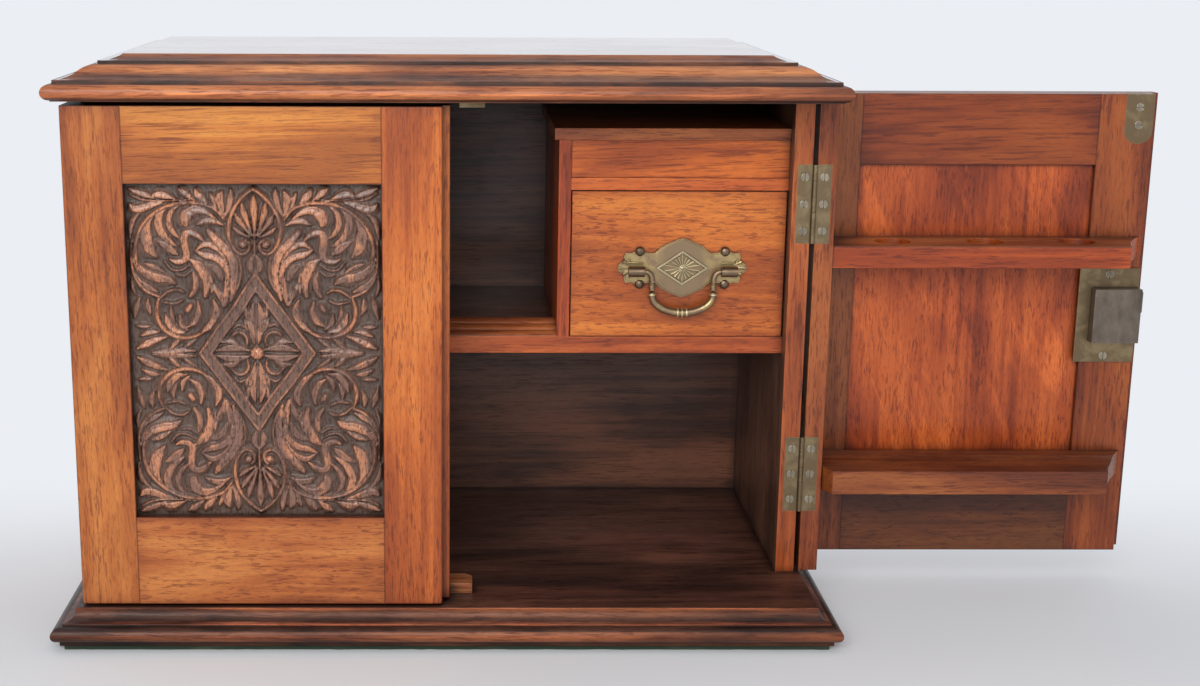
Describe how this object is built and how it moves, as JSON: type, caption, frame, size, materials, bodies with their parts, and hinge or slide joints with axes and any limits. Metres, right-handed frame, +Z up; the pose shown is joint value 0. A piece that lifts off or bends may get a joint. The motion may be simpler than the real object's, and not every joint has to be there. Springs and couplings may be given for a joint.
{
  "type": "carved cabinet",
  "caption": "Small oak smoker's cabinet with tray-shaped carved doors on butt hinges, pipe racks inside the doors, a shelf and a drawer with a brass bail handle, on a moulded base.",
  "frame": {"origin": "on the ground under the middle of the case", "axes": "+X to the right as seen from the front, +Y to the back, +Z up; the right door stands open and the left one is shut"},
  "size_m": [0.6193, 0.2458, 0.3196],
  "materials": {
    "oak": "golden-brown varnished oak",
    "inside_oak": "red-brown varnished oak",
    "carved_oak": "dark carved oak, rubbed on the high parts",
    "brass": "aged brass",
    "lock_metal": "darkened brass",
    "screw_steel": "slotted steel",
    "baize": "green baize"
  },
  "bodies": {
    "case": {"base_board": "oak", "baize_pad": "baize", "cornice_board": "oak", "top_board": "oak", "right_side": "oak", "left_side": "oak", "back_panel": "inside_oak", "shelf": "inside_oak", "shelf_lip": "inside_oak", "drawer_divider": "inside_oak", "drawer_case_top": "inside_oak", "drawer_frieze": "inside_oak", "drawer_rail": "inside_oak", "door_stop_block": "inside_oak", "top_stop": "brass", "top_stop_screws": "screw_steel", "hinge_case_leaves": "brass", "hinge_pins": "screw_steel", "hinge_case_screws": "screw_steel"},
    "drawer": {"drawer_front": "oak", "drawer_left_side": "inside_oak", "drawer_right_side": "inside_oak", "drawer_back": "inside_oak", "drawer_bottom": "inside_oak", "handle_backplate": "brass", "handle_posts": "brass", "handle_nuts": "brass"},
    "bail": {"handle_bail": "brass"},
    "right_door": {"right_hinge_stile": "oak", "right_top_rail": "oak", "right_bottom_rail": "oak", "right_carved_panel": "carved_oak", "right_return": "oak", "right_pipe_rack": "inside_oak", "right_pipe_rest": "inside_oak", "right_hinge_door_leaves": "brass", "right_hinge_door_screws": "screw_steel", "right_meeting_stile": "oak", "lock_plate": "brass", "lock_case": "lock_metal", "lock_screws": "screw_steel", "keyhole_escutcheon": "brass", "escutcheon_pins": "brass", "catch_plate": "brass", "catch_plate_screws": "screw_steel"},
    "lock_bolt": {"lock_bolt": "lock_metal"},
    "left_door": {"left_hinge_stile": "oak", "left_top_rail": "oak", "left_bottom_rail": "oak", "left_carved_panel": "carved_oak", "left_return": "oak", "left_pipe_rack": "inside_oak", "left_pipe_rest": "inside_oak", "left_hinge_door_leaves": "brass", "left_hinge_door_screws": "screw_steel", "left_meeting_stile": "oak", "left_bolt_plate": "brass", "left_bolt_screws": "screw_steel"},
    "left_slide_bolt": {"left_bolt": "brass"}
  },
  "joints": [
    {"name": "right_door_swing", "type": "hinge", "parent": "case", "child": "right_door", "pos_m": [0.2014, -0.0556, 0.081], "axis": [0, 0, 1], "range_deg": [-180, 0]},
    {"name": "left_door_swing", "type": "hinge", "parent": "case", "child": "left_door", "pos_m": [-0.2014, -0.0556, 0.081], "axis": [0, 0, -1], "range_deg": [0, 180]},
    {"name": "drawer_slide", "type": "slide", "parent": "case", "child": "drawer", "axis": [0, -1, 0], "range_m": [0, 0.112]},
    {"name": "bail_swing", "type": "hinge", "parent": "drawer", "child": "bail", "pos_m": [0.1312, -0.0499, 0.1977], "axis": [-1, 0, 0], "range_deg": [0, 165]},
    {"name": "lock_bolt_slide", "type": "slide", "parent": "right_door", "child": "lock_bolt", "axis": [1, 0, 0], "range_m": [0, 0.006]},
    {"name": "left_bolt_slide", "type": "slide", "parent": "left_door", "child": "left_slide_bolt", "axis": [0, 0, 1], "range_m": [0, 0.008]}
  ]
}
